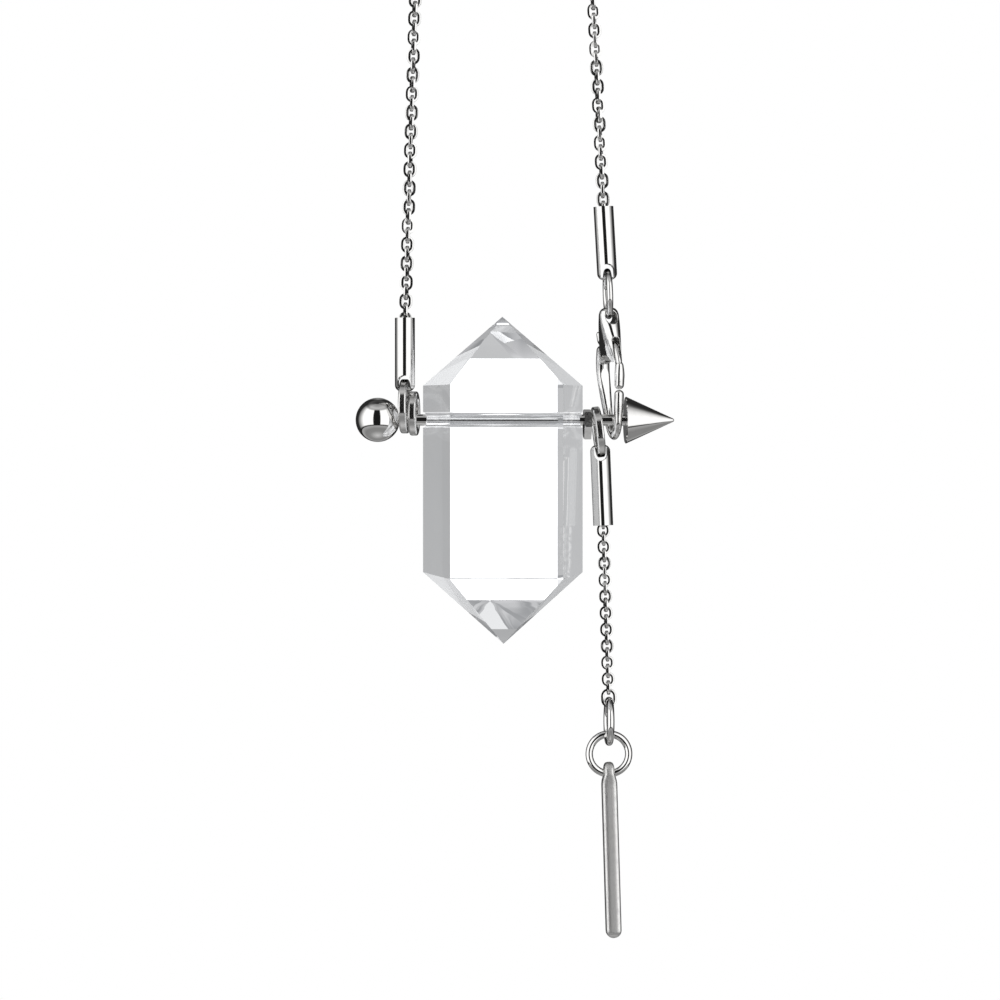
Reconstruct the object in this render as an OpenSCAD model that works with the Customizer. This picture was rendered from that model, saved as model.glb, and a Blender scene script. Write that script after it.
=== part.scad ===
// Crystal point pendant on its chain: a straight barbell through a clear double point, hung by a
// jump ring on the left and a lobster clasp on the right, with a short bar drop beside the point.
// The origin is where the chain hangs on a peg, under its topmost links. +Z is up, +X to the wearer's
// left as the pendant is looked at, and -Y towards the viewer.

/* [Hanging] */
// Drop from the peg down to the barbell's axis
hang_drop = 283.1; // [240:0.1:330]
// Distance between the two strands where they leave the peg, centre to centre
peg_spread = 7; // [5:0.1:14]
// Clearance between linked pieces
link_gap = 0.1; // [0.06:0.01:0.16]

/* [Barbell] */
// Bar diameter
bar_d = 1.6; // [1.2:0.05:1.8]
// Ball diameter
ball_d = 6.2; // [5.4:0.1:7]
// Spike base diameter
spike_d = 6.6; // [5.4:0.1:7.4]
// Spike length
spike_len = 6.9; // [5:0.05:10]
// Radius of the spike's rounded tip
spike_tip_r = 0.28; // [0.15:0.01:0.5]
// Diameter of the threaded stems that the ball and the spike screw onto
stem_d = 1.1; // [0.8:0.05:1.15]
// Length of each stem
stem_len = 2; // [1.4:0.1:2.6]
// Clearance round a stem and between a shoulder and its seat
seat_gap = 0.03; // [0.02:0.01:0.06]

/* [Crystal] */
// Distance of the crystal's middle to the right of the peg
crystal_in = 1.91; // [-2:0.01:4]
// Width across the two outer edges
crystal_w = 22.4; // [18:0.1:27]
// Width of the front face
crystal_face_w = 15.7; // [12:0.1:17.4]
// Thickness from front face to back face
crystal_d = 15; // [11:0.1:18]
// Height of the upper tip above the bar's axis
crystal_up = 14.5; // [11:0.1:18]
// Depth of the lower tip below the bar's axis
crystal_down = 31.3; // [26:0.1:36]
// Height of the upper six-sided shoulder above the bar's axis
crystal_shoulder_up = 4.8; // [3:0.1:7]
// Depth of the lower shoulder below the bar's axis, at the two outer edges
crystal_shoulder_down = 21.3; // [18:0.1:24]
// Extra depth of the lower shoulder at the front and back faces
crystal_shoulder_dip = 0.9; // [0:0.1:1.6]
// Extra height of the upper shoulder at the back face
crystal_back_rise = 0.4; // [0:0.1:1]
// Distance of the upper tip behind the bar, and of the lower tip in front of it
crystal_tip_off = 1.2; // [0:0.1:2]
// Radial clearance of the drilled hole round the bar
crystal_fit = 0.3; // [0.06:0.01:0.34]
// Space left between the crystal's right edge and the nut
crystal_side_gap = 0.15; // [0.1:0.01:0.6]

/* [Hex nut] */
// Width across flats
nut_af = 3.9; // [3.6:0.05:4.6]
// Thickness
nut_t = 1; // [0.6:0.05:1.2]
// Hole diameter, loose on the bar
nut_hole_d = 2.9; // [2.2:0.05:3]
// Turn on the bar that lets the front corner sink below the middle
nut_turn = 10; // [0:1:30]

/* [Jump rings] */
// Outer diameter of the left ring that holds the barbell
left_ring_od = 7.6; // [7.2:0.05:8.6]
// Outer diameter of the second left ring
second_ring_od = 6.2; // [5.8:0.05:6.3]
// Outer diameter of the ring between the right end tube and the clasp
clasp_ring_od = 7.15; // [6.8:0.05:8]
// Outer diameter of the ring that carries the drop
hanger_ring_od = 7.15; // [6.8:0.05:8]
// Radial thickness of the flattened rings round the bar
flat_ring_t = 1; // [0.8:0.05:1.1]
// Width of the flattened rings round the bar
flat_ring_w = 1.12; // [0.8:0.02:1.14]
// Wire of the clasp's ring
clasp_ring_wire = 0.9; // [0.7:0.05:1]
// Outer diameter of the drop's upper ring, seen edge on
link_ring_od = 6.9; // [6:0.05:8]
// Outer diameter of the drop's lower ring, which faces the viewer
drop_ring_od = 6.6; // [6:0.05:8]
// Wire of both drop rings
drop_ring_wire = 1.04; // [0.8:0.02:1.1]
// Yaw of the two left rings
left_ring_yaw = -10; // [-12:1:0]
// Distance of the first left ring's middle from the ball's seat
left_ring_in = 0.82; // [0.7:0.02:0.9]
// Distance of the second left ring's middle from the crystal's left edge
second_ring_in = 1.26; // [1.2:0.02:1.6]
// Distance between the middles of the two left rings, along the bar
left_ring_pitch = 1.28; // [1.24:0.02:1.32]
// Space between the nut and the ring that carries the drop, which leans
hanger_in = 0.28; // [0.26:0.01:0.4]
// Distance between the middles of that ring and the clasp, along the bar
clasp_pitch = 2.35; // [2.3:0.01:2.8]

/* [End tubes] */
// Outer diameter
tube_d = 2.8; // [2.6:0.05:3.2]
// Inner diameter
tube_bore_d = 2.1; // [2:0.05:2.2]
// Length of the two chain end tubes
tube_len = 10.3; // [8:0.1:13]
// Length of the drop's tube
drop_tube_len = 11.3; // [8:0.1:14]
// Thickness of the bridge that closes a tube's ring end
tube_bridge = 0.35; // [0.3:0.01:0.45]
// Rounding of the closed end's edge
tube_end_r = 0.9; // [0.6:0.05:1.1]
// Width of the windows that a ring passes through
window_w = 1.9; // [1.7:0.05:2]
// Height of the windows' arched top above the closed end
window_h = 2.25; // [2.1:0.05:3.4]
// Length of chain inside an end tube
chain_in = 1.5; // [1:0.1:3]

/* [Chain] */
// Length of a link
link_l = 2.06; // [1.9:0.02:2.4]
// Width of a link
link_w = 1.8; // [1.6:0.02:1.9]
// Wire of a link
link_wire = 0.4; // [0.34:0.01:0.42]
// Links in the drop's chain
drop_links = 21; // [12:1:30]
// Length of the larger link at the end of the drop's chain
end_link_l = 2.7; // [2.5:0.05:3.2]
// Width of that link
end_link_w = 2.15; // [2.1:0.05:2.6]

/* [Lobster clasp] */
// Distance of the clasp's middle from the spike's base
clasp_in = 1.6; // [1.55:0.05:1.9]
// Height of the clasp's top above the bar's axis
clasp_up = 15.85; // [15:0.05:18]
// Metal under the bar at the bottom of the hook
hook_base = 1.9; // [1.4:0.05:2.3]
// Width of the metal along the hook's arms
hook_arm = 1.2; // [1:0.05:1.4]
// Radius of the hook's opening at its bottom
hook_low_r = 1.15; // [1.05:0.05:1.3]
// Radius of the hook's opening at its widest
hook_high_r = 2.5; // [2.3:0.05:2.8]
// Thickness of the clasp at its eye
clasp_t_top = 2.45; // [2.4:0.05:2.8]
// Thickness of the clasp at its hook's tip
clasp_t_low = 1.25; // [1.2:0.05:1.5]
// Thickness of the clasp at the bottom of its hook
clasp_t_foot = 1.1; // [1:0.05:1.3]
// Width of the eye's opening
eye_w = 1.75; // [1.7:0.05:1.85]
// Height of the eye's opening
eye_h = 1.5; // [1.4:0.05:1.7]
// Metal over the eye
eye_rim = 0.5; // [0.4:0.05:0.6]
// Thickness of the lever inside its slot
lever_t = 1; // [0.8:0.05:1]
// Thickness of the lever's gate, below the slot
gate_t = 1.25; // [1:0.05:1.3]
// Diameter of the lever's pivot pin
pin_d = 0.7; // [0.6:0.05:0.8]
// Radial clearance of the lever round its pin
pin_fit = 0.05; // [0.03:0.01:0.08]
// Clearance beside the lever in its slot
lever_side = 0.06; // [0.05:0.01:0.1]
// Yaw of the clasp, its lever turned towards the viewer
clasp_yaw = 17; // [12:1:18]

/* [Bar drop] */
// Length of the drop from the top of its eye to its rounded foot
stick_len = 24.2; // [16:0.1:32]
// Side of its square body
stick_w = 2.2; // [1.9:0.05:2.6]
// Rounding of the body's long edges
stick_edge_r = 0.35; // [0.2:0.05:0.6]
// Thickness of the flattened eye
stick_eye_t = 1.5; // [1.2:0.05:1.7]
// Diameter of the eye's hole
stick_hole_d = 1.5; // [1.4:0.05:1.6]
// Metal over the eye's hole
stick_rim = 1.05; // [0.7:0.05:1.2]

/* [Lean of the hanging pieces] */
// Right end tube, away from upright
right_tube_lean = 3.2; // [2:0.1:4]
// Ring above the clasp
clasp_ring_lean = 2.1; // [1:0.1:4]
// Clasp
clasp_lean = 2.6; // [1:0.1:4]
// Ring that carries the drop
hanger_lean = 7; // [4:0.5:8]
// Drop's tube
drop_tube_lean = 2.3; // [1:0.1:4]
// Drop's chain
drop_chain_lean = 1.85; // [1:0.05:3]
// Bar drop
stick_lean = 1.7; // [0:0.1:4]

/* [Hidden] */
$fn = 64;
STEEL = [0.78, 0.78, 0.8];
CLEAR = [0.9, 0.93, 0.96, 0.5];

tuck = 0.003;

// Unit vector that points down and leans towards +X
function down(lean) = [sin(lean), 0, -cos(lean)];
// How far a circle of radius r has risen at half a chord h from its lowest point
function rise(r, h) = r - sqrt(r * r - h * h);
function flat_inner(od) = od / 2 - flat_ring_t;
function wire_inner(od, wire) = od / 2 - wire;

// Places along the bar
bar_r = bar_d / 2;
// The crystal comes first, and everything else is strung outwards from its two edges
nut_x = crystal_in + crystal_w / 2 + crystal_side_gap + nut_t / 2;
hanger_x = nut_x + nut_t / 2 + hanger_in + flat_ring_w / 2;
clasp_x = hanger_x + clasp_pitch;
bar_end_x = clasp_x + clasp_in;
left_ring_b_x = crystal_in - crystal_w / 2 - second_ring_in;
left_ring_a_x = left_ring_b_x - left_ring_pitch;
bar_left = left_ring_in - left_ring_a_x;
bar_len = bar_end_x + bar_left;
ball_seat = sqrt(pow(ball_d / 2, 2) - pow(bar_r * 1.2, 2));

// Half depth of a tube's bridge where a ring crosses it
bridge_half = tube_d / 2 - tube_end_r + sqrt(pow(tube_end_r, 2) - pow(tube_end_r - tube_bridge, 2));

// Heights of the left rings and the left end tube, with the bar lying in the rings' lower sides
left_ring_a_z = flat_inner(left_ring_od) - bar_r - link_gap;
left_ring_b_z = flat_inner(second_ring_od) - bar_r - 4 * link_gap;
left_tube_z = left_ring_a_z + flat_inner(left_ring_od)
    - rise(flat_inner(left_ring_od), bridge_half) - link_gap - tube_bridge;

// Clasp, in its own frame: thickness along X, lever side towards -Y, bar axis at the origin
hook_low_z = hook_low_r - bar_r - link_gap;
hook_high_z = 6.6;
hook_foot_r = hook_low_r + hook_arm;
hook_foot_z = -bar_r - link_gap - hook_base + hook_foot_r;
hook_head_r = hook_high_r + hook_arm;
hook_head_z = 7;
eye_half = 1;
eye_top_z = clasp_up - eye_rim;
// The gap in the hook that the lever closes, from the hook's tip up to the cheeks
hook_tip_z = 4;
cheek_z = 8.1;
// The lever's circles as [y, z, radius]: gate tip, elbow, pivot boss, arm and thumb tab
lever_tip = [-2.75, 4.85, 0.55];
lever_elbow = [-3.1, 7.4, 0.6];
lever_boss = [-1.2, 10.5, 0.65];
lever_arm = [3.3, 10.8, 0.4];
lever_tab = [3.7, 12.2, 0.4];
pivot_y = lever_boss[0];
pivot_z = lever_boss[1];
slot_half = lever_t / 2 + lever_side;
slot_arch_z = 11.6;
slot_back_z = 13.2;
// The clasp's widening above its hook, as [share of clasp_up, share of the way from low to top thickness]
clasp_sections = [[0.25, 0], [0.4, 0.13], [0.51, 0.28], [0.59, 0.45], [0.78, 0.96]];
// Length of a cut that passes right through the clasp
clasp_through = 4 * hook_head_r;

// Ring above the clasp and the right end tube
clasp_ring_inner = wire_inner(clasp_ring_od, clasp_ring_wire);
eye_seat = [clasp_x, 0, 0] - down(clasp_lean) * eye_top_z;
clasp_ring_low = eye_seat + down(clasp_ring_lean) * (rise(clasp_ring_inner, eye_half) + link_gap);
clasp_ring_at = clasp_ring_low - down(clasp_ring_lean) * clasp_ring_inner;
right_tube_at = clasp_ring_at
    - down(clasp_ring_lean) * (clasp_ring_inner - rise(clasp_ring_inner, bridge_half) - link_gap)
    + down(right_tube_lean) * tube_bridge;

// The drop, from the bar downwards
hanger_inner = flat_inner(hanger_ring_od);
hanger_at = [hanger_x, 0, 0] + down(hanger_lean) * (hanger_inner - bar_r - link_gap);
drop_tube_at = hanger_at
    + down(hanger_lean) * (hanger_inner - rise(hanger_inner, bridge_half) - link_gap)
    - down(drop_tube_lean) * tube_bridge;
link_pitch = link_l - 2 * link_wire - link_gap;
drop_chain_at = drop_tube_at + down(drop_tube_lean) * (drop_tube_len - chain_in + link_l / 2);
end_link_at = drop_chain_at + down(drop_chain_lean)
    * ((drop_links - 1) * link_pitch + link_l / 2 + end_link_l / 2 - 2 * link_wire - link_gap);
link_ring_at = end_link_at + down(drop_chain_lean) * (end_link_l / 2 - link_wire - link_gap)
    + [0, 0, drop_ring_wire - link_ring_od / 2];
link_ring_inner = wire_inner(link_ring_od, drop_ring_wire);
drop_ring_inner = wire_inner(drop_ring_od, drop_ring_wire);
drop_ring_at = link_ring_at - [0, 0, link_ring_inner - link_gap + drop_ring_inner];
stick_hole_at = drop_ring_at
    - [0, 0, drop_ring_inner + drop_ring_wire / 2 - link_gap + stick_hole_d / 2 - drop_ring_wire / 2];

// The chain's route over the peg: two straight strands and half a turn between them
peg_r = peg_spread / 2;
peg_z = hang_drop - peg_r + link_w / 2;
left_chain_end = [left_ring_a_x, left_tube_z + tube_len - chain_in];
right_chain_3d = right_tube_at - down(right_tube_lean) * (tube_len - chain_in);
right_chain_end = [right_chain_3d[0], right_chain_3d[2]];
strand_steps = 26;
arc_steps = 12;

// Places a child at a point of the pendant, turned by yaw and then leaned. Its -Z ends up along down(lean).
module at(p, lean = 0, yaw = 0) {
    translate([0, 0, -hang_drop])
        translate(p)
            rotate([0, -lean, 0])
                rotate([0, 0, yaw])
                    children();
}

module rounded_rect(w, h, r) {
    square([w, h - 2 * r], center = true);
    square([w - 2 * r, h], center = true);
    for (x = [-1, 1])
        for (y = [-1, 1])
            translate([x * (w / 2 - r), y * (h / 2 - r)])
                circle(r);
}

// Flattened jump ring whose axis lies along X
module flat_ring(od) {
    rotate([0, 90, 0])
        rotate_extrude()
            translate([od / 2 - flat_ring_t / 2, 0])
                rounded_rect(flat_ring_t, flat_ring_w, 0.28);
}

// Round wire jump ring whose axis lies along X
module wire_ring(od, wire) {
    rotate([0, 90, 0])
        rotate_extrude()
            translate([od / 2 - wire / 2, 0])
                circle(wire / 2);
}

// Circles joined in a row by the bands between their common tangents, each circle as [x, y, radius].
// The bands are tucked a few microns inside the circles, so that no two surfaces only touch.
module tapered_path(discs) {
    for (p = discs)
        translate([p[0], p[1]])
            circle(p[2]);
    for (i = [1:len(discs) - 1]) {
        a = discs[i - 1];
        b = discs[i];
        d = norm([b[0] - a[0], b[1] - a[1]]);
        u = [b[0] - a[0], b[1] - a[1]] / d;
        v = [-u[1], u[0]];
        s = (a[2] - b[2]) / d;
        c = sqrt(1 - s * s) * (1 - tuck);
        polygon([
            [a[0], a[1]] + a[2] * (s * u - c * v),
            [b[0], b[1]] + b[2] * (s * u - c * v),
            [b[0], b[1]] + b[2] * (s * u + c * v),
            [a[0], a[1]] + a[2] * (s * u + c * v)
        ]);
    }
}

// Extrudes a side outline, drawn as [y, z], to a thickness along X
module side_extrude(t) {
    rotate([90, 0, 90])
        translate([0, 0, -t / 2])
            linear_extrude(t)
                children();
}

// End tube standing on its closed end, open at the top, with a window at front and back
module end_tube(len) {
    r = tube_d / 2;
    e = tube_end_r;
    difference() {
        rotate_extrude() {
            difference() {
                union() {
                    translate([0, e])
                        square([r, len - e]);
                    square([r - e, e]);
                    intersection() {
                        translate([r - e, e])
                            circle(e);
                        square([r, e]);
                    }
                }
                translate([0, tube_bridge])
                    square([tube_bore_d / 2, len]);
            }
        }
        rotate([90, 0, 0])
            linear_extrude(2 * tube_d, center = true) {
                translate([-window_w / 2, tube_bridge])
                    square([window_w, window_h - window_w / 2 - tube_bridge]);
                translate([0, window_h - window_w / 2])
                    circle(window_w / 2);
            }
    }
}

// Oval link in the XZ plane, swept with a six-sided wire
module chain_link(l, w, wire) {
    bend = (w - wire) / 2;
    straight = (l - w) / 2;
    arc = 6;
    sides = 6;
    path = [for (half = [1, -1]) for (i = [0:arc])
        let (a = 180 * i / arc)
        [half * bend * cos(a), half * (straight + bend * sin(a)), a + (half < 0 ? 180 : 0)]];
    n = len(path);
    points = [for (p = path) for (k = [0:sides - 1])
        let (a = 360 * (k + 0.5) / sides, q = wire / 2 * cos(a))
        [p[0] + q * cos(p[2]), wire / 2 * sin(a), p[1] + q * sin(p[2])]];
    faces = [for (i = [0:n - 1]) for (k = [0:sides - 1])
        let (j = (i + 1) % n, m = (k + 1) % sides)
        [i * sides + k, j * sides + k, j * sides + m, i * sides + m]];
    polyhedron(points, faces);
}

module crystal() {
    w = crystal_w / 2;
    f = crystal_face_w / 2;
    d = crystal_d / 2;
    outline = [[w, 0], [f, d], [-f, d], [-w, 0], [-f, -d], [f, -d]];
    points = concat(
        [for (p = outline) [p[0], p[1], crystal_shoulder_up + (p[1] > 0 ? crystal_back_rise : 0)]],
        [for (p = outline) [p[0], p[1], -crystal_shoulder_down - (p[1] == 0 ? 0 : crystal_shoulder_dip)]],
        [[0, crystal_tip_off, crystal_up], [0, -crystal_tip_off, -crystal_down]]
    );
    faces = concat(
        [for (i = [0:5]) [i, i + 6, (i + 1) % 6 + 6, (i + 1) % 6]],
        [for (i = [0:5]) [12, i, (i + 1) % 6]],
        [for (i = [0:5]) [13, (i + 1) % 6 + 6, i + 6]]
    );
    color(CLEAR)
        at([crystal_in, 0, 0])
            difference() {
                polyhedron(points, faces);
                rotate([0, 90, 0])
                    cylinder(r = bar_r + crystal_fit, h = crystal_w + 2, center = true);
            }
}

module bar() {
    color(STEEL)
        at([-bar_left, 0, 0])
            rotate([0, 90, 0]) {
                cylinder(r = bar_r, h = bar_len);
                translate([0, 0, -stem_len])
                    cylinder(d = stem_d, h = bar_len + 2 * stem_len);
            }
}

// Blind hole for a stem, from a seat at the origin along +Z
module stem_hole() {
    translate([0, 0, -1])
        cylinder(d = stem_d + 2 * seat_gap, h = stem_len + 1 + 0.2);
}

module ball_end() {
    color(STEEL)
        at([-bar_left - seat_gap, 0, 0])
            rotate([0, -90, 0])
                difference() {
                    translate([0, 0, ball_seat])
                        sphere(d = ball_d);
                    translate([0, 0, -ball_d])
                        cylinder(d = ball_d, h = ball_d);
                    stem_hole();
                }
}

module spike_end() {
    r = spike_d / 2;
    edge = 0.12;
    // The cone's side touches the tip's sphere at this angle above its middle
    tip_z = spike_len - spike_tip_r;
    reach = norm([r, edge - tip_z]);
    a = atan2(edge - tip_z, r) + acos(spike_tip_r / reach);
    touch = [0, tip_z] + spike_tip_r * (1 - tuck) * [cos(a), sin(a)];
    color(STEEL)
        at([bar_end_x + seat_gap, 0, 0])
            rotate([0, 90, 0])
                difference() {
                    union() {
                        rotate_extrude()
                            polygon([[0, 0], [r - edge, 0], [r, edge], touch, [0, touch[1]]]);
                        translate([0, 0, tip_z])
                            sphere(r = spike_tip_r);
                    }
                    stem_hole();
                }
}

module hex_nut() {
    chamfer = 0.22;
    corner_r = nut_af / sqrt(3);
    color(STEEL)
        at([nut_x, 0, -(nut_hole_d / 2 - bar_r - link_gap / 2)])
            rotate([0, 90, 0])
                rotate([0, 0, 90 + nut_turn])
                    difference() {
                        intersection() {
                            cylinder(r = corner_r, h = nut_t, center = true, $fn = 6);
                            for (side = [0, 1])
                                mirror([0, 0, side])
                                    cylinder(r1 = corner_r + 0.4, r2 = corner_r - chamfer / 2, h = nut_t / 2);
                        }
                        cylinder(d = nut_hole_d, h = nut_t + 1, center = true);
                    }
}

module left_ring_a() {
    color(STEEL)
        at([left_ring_a_x, 0, left_ring_a_z], 0, left_ring_yaw)
            flat_ring(left_ring_od);
}

module left_ring_b() {
    color(STEEL)
        at([left_ring_b_x, 0, left_ring_b_z], 0, left_ring_yaw)
            flat_ring(second_ring_od);
}

module left_end_tube() {
    color(STEEL)
        at([left_ring_a_x, 0, left_tube_z], 0, left_ring_yaw)
            end_tube(tube_len);
}

module right_end_tube() {
    color(STEEL)
        at(right_tube_at, right_tube_lean)
            end_tube(tube_len);
}

// Stand-in for the fine chain: a tube as wide as its links along the chain's whole route
module neck_chain() {
    sides = 8;
    r = link_w / 2;
    c = [0, peg_z];
    // Angle of the point where a strand touches the peg's circle
    function touch(p, side) = let (q = p - c) atan2(q[1], q[0]) + side * acos(peg_r / norm(q));
    left_a = touch(left_chain_end, -1);
    right_a = touch(right_chain_end, 1);
    left_top = c + peg_r * [cos(left_a), sin(left_a)];
    right_top = c + peg_r * [cos(right_a), sin(right_a)];
    sweep = (left_a + 720) % 360 - right_a;
    route = concat(
        [for (i = [0:strand_steps - 1]) left_chain_end + (left_top - left_chain_end) * i / strand_steps],
        [for (i = [0:arc_steps])
            let (a = right_a + sweep * (1 - i / arc_steps))
            c + peg_r * [cos(a), sin(a)]],
        [for (i = [1:strand_steps]) right_top + (right_chain_end - right_top) * i / strand_steps]
    );
    n = len(route);
    points = [for (i = [0:n - 1])
        let (
            t = route[min(i + 1, n - 1)] - route[max(i - 1, 0)],
            side = [-t[1], t[0]] / norm(t)
        )
        for (k = [0:sides - 1])
            let (a = 360 * (k + 0.5) / sides)
            [route[i][0] + r * cos(a) * side[0], r * sin(a), route[i][1] + r * cos(a) * side[1]]];
    faces = concat(
        [[for (k = [0:sides - 1]) k]],
        [for (i = [0:n - 2]) for (k = [0:sides - 1])
            let (a = i * sides, b = a + sides, m = (k + 1) % sides)
            [a + k, b + k, b + m, a + m]],
        [[for (k = [sides - 1:-1:0]) (n - 1) * sides + k]]
    );
    color(STEEL)
        at([0, 0, 0])
            polyhedron(points, faces);
}

module clasp_ring() {
    color(STEEL)
        at(clasp_ring_at, clasp_ring_lean)
            wire_ring(clasp_ring_od, clasp_ring_wire);
}

// Outline of the clasp from its side, with the arm on the lever side cut away above the hook's tip
module clasp_outline() {
    difference() {
        union() {
            tapered_path([[0, hook_foot_z, hook_foot_r], [0, hook_head_z, hook_head_r],
                [0, clasp_up - eye_half, eye_half]]);
            tapered_path([[-0.4, clasp_up - 0.6, 0.6], [0.4, clasp_up - 0.6, 0.6]]);
        }
        tapered_path([[0, hook_low_z, hook_low_r], [0, hook_high_z, hook_high_r]]);
        translate([-2 * hook_head_r, hook_tip_z])
            square([2 * hook_head_r, cheek_z - hook_tip_z]);
    }
}

// Outline of the clasp from its front, drawn as [x, z]: narrow along the hook, wide and round at the eye
module clasp_front() {
    top = clasp_t_top / 2;
    low = clasp_t_low / 2;
    foot = clasp_t_foot / 2;
    shoulder = 1;
    foot_z = hook_low_z + bar_r;
    side = concat(
        [[foot, -clasp_up], [foot, foot_z]],
        [for (s = clasp_sections) [low + s[1] * (top - low), s[0] * clasp_up]],
        [[top, clasp_up - shoulder]]
    );
    n = len(side);
    polygon(concat(side, [for (i = [1:n]) [-side[n - i][0], side[n - i][1]]]));
    translate([0, clasp_up - shoulder])
        square([2 * (top - shoulder), 2 * shoulder], center = true);
    for (x = [-1, 1])
        translate([x * (top - shoulder), clasp_up - shoulder])
            circle(shoulder);
}

module clasp_body() {
    // The slot's arched front is a wall this thick, and the slot is taller behind it
    arch_wall_y = -1.9;
    color(STEEL)
        at([clasp_x, 0, 0], clasp_lean, clasp_yaw)
            difference() {
                intersection() {
                    side_extrude(2 * clasp_t_top)
                        clasp_outline();
                    rotate([90, 0, 0])
                        linear_extrude(clasp_through, center = true)
                            clasp_front();
                }
                // Eye
                rotate([90, 0, 0])
                    linear_extrude(clasp_through, center = true) {
                        translate([0, eye_top_z - eye_w / 2])
                            circle(eye_w / 2);
                        translate([0, eye_top_z - eye_h + 0.4])
                            square([eye_w, 0.8], center = true);
                    }
                // Slot for the lever: an arch at the front, and a longer opening behind for the thumb arm
                translate([0, arch_wall_y + tuck, 0])
                    rotate([90, 0, 0])
                        linear_extrude(clasp_through) {
                            translate([-slot_half, cheek_z - 1])
                                square([2 * slot_half, slot_arch_z - slot_half - cheek_z + 1]);
                            translate([0, slot_arch_z - slot_half])
                                circle(slot_half);
                        }
                side_extrude(2 * slot_half)
                    polygon([[arch_wall_y, cheek_z - 1], [0, cheek_z], [1, pivot_z - 1],
                        [clasp_through, pivot_z - 0.6], [clasp_through, slot_back_z], [1.2, slot_back_z],
                        [arch_wall_y, slot_arch_z]]);
                // Pin hole
                translate([0, pivot_y, pivot_z])
                    rotate([0, 90, 0])
                        cylinder(r = pin_d / 2 + seat_gap, h = clasp_through, center = true);
            }
}

module clasp_pin() {
    // The pin ends just inside both faces of the clasp
    share = lookup(pivot_z / clasp_up, clasp_sections);
    pin_l = clasp_t_low + share * (clasp_t_top - clasp_t_low) - seat_gap;
    color(STEEL)
        at([clasp_x, 0, 0], clasp_lean, clasp_yaw)
            translate([0, pivot_y, pivot_z])
                rotate([0, 90, 0])
                    cylinder(d = pin_d, h = pin_l, center = true);
}

module clasp_lever() {
    color(STEEL)
        at([clasp_x, 0, 0], clasp_lean, clasp_yaw)
            difference() {
                union() {
                    side_extrude(lever_t)
                        tapered_path([lever_tip, lever_elbow, lever_boss, lever_arm, lever_tab]);
                    side_extrude(gate_t)
                        tapered_path([lever_tip, lever_elbow]);
                }
                translate([0, pivot_y, pivot_z])
                    rotate([0, 90, 0])
                        cylinder(r = pin_d / 2 + pin_fit, h = clasp_through, center = true);
            }
}

module drop_hanger_ring() {
    color(STEEL)
        at(hanger_at, hanger_lean)
            flat_ring(hanger_ring_od);
}

module drop_tube() {
    color(STEEL)
        at(drop_tube_at, drop_tube_lean)
            rotate([180, 0, 0])
                end_tube(drop_tube_len);
}

module drop_chain() {
    color(STEEL) {
        for (i = [0:drop_links - 1])
            at(drop_chain_at + down(drop_chain_lean) * i * link_pitch, drop_chain_lean, (i + 1) % 2 * 90)
                chain_link(link_l, link_w, link_wire);
        at(end_link_at, drop_chain_lean, (drop_links + 1) % 2 * 90)
            chain_link(end_link_l, end_link_w, link_wire);
    }
}

module drop_link_ring() {
    color(STEEL)
        at(link_ring_at)
            wire_ring(link_ring_od, drop_ring_wire);
}

module drop_ring() {
    color(STEEL)
        at(drop_ring_at, 0, 90)
            wire_ring(drop_ring_od, drop_ring_wire);
}

// Bar drop, hanging from the centre of its eye's hole
module drop_bar() {
    hole_r = stick_hole_d / 2;
    eye_r = hole_r + stick_rim * 0.72;
    eye_z = hole_r + stick_rim - eye_r;
    neck = 1.5;
    foot_r = stick_w / 2;
    body_top = -hole_r - 0.75;
    body_low = hole_r + stick_rim - stick_len + foot_r;
    color(STEEL)
        at(stick_hole_at, stick_lean)
            difference() {
                union() {
                    // Flattened eye
                    side_extrude(stick_eye_t)
                        tapered_path([[0, eye_z, eye_r], [0, body_top - 0.4, stick_w / 2]]);
                    // Body and rounded foot
                    intersection() {
                        translate([0, 0, body_low - foot_r - 1])
                            linear_extrude(body_top - body_low + foot_r + 1 + neck)
                                rounded_rect(stick_w, stick_w, stick_edge_r);
                        rotate_extrude() {
                            translate([0, body_low])
                                square([stick_w * 0.75, body_top - body_low]);
                            intersection() {
                                translate([0, body_low])
                                    circle(stick_w * 0.75);
                                translate([0, body_low - 2 * stick_w])
                                    square([stick_w, 2 * stick_w]);
                            }
                            polygon([[0, body_top], [stick_w * 0.75, body_top],
                                [stick_eye_t / 2, body_top + neck], [0, body_top + neck]]);
                        }
                    }
                }
                rotate([0, 90, 0])
                    cylinder(r = hole_r, h = 4 * stick_w, center = true);
            }
}

crystal();
bar();
ball_end();
spike_end();
hex_nut();
left_ring_a();
left_ring_b();
left_end_tube();
neck_chain();
right_end_tube();
clasp_ring();
clasp_body();
clasp_pin();
clasp_lever();
drop_hanger_ring();
drop_tube();
drop_chain();
drop_link_ring();
drop_ring();
drop_bar();
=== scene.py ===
"""The looks of the crystal point necklace: fine chain, polished findings and clear crystal, on a pale stage.

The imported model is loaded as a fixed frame. Each operator below makes one piece or a group of like pieces
over it, in metres and in the same place. Lengths inside the shape code are in millimetres.
"""
import math
import random

import bmesh
import bpy
from bpy.props import FloatProperty, FloatVectorProperty, PointerProperty
from mathutils import Matrix, Vector


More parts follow.
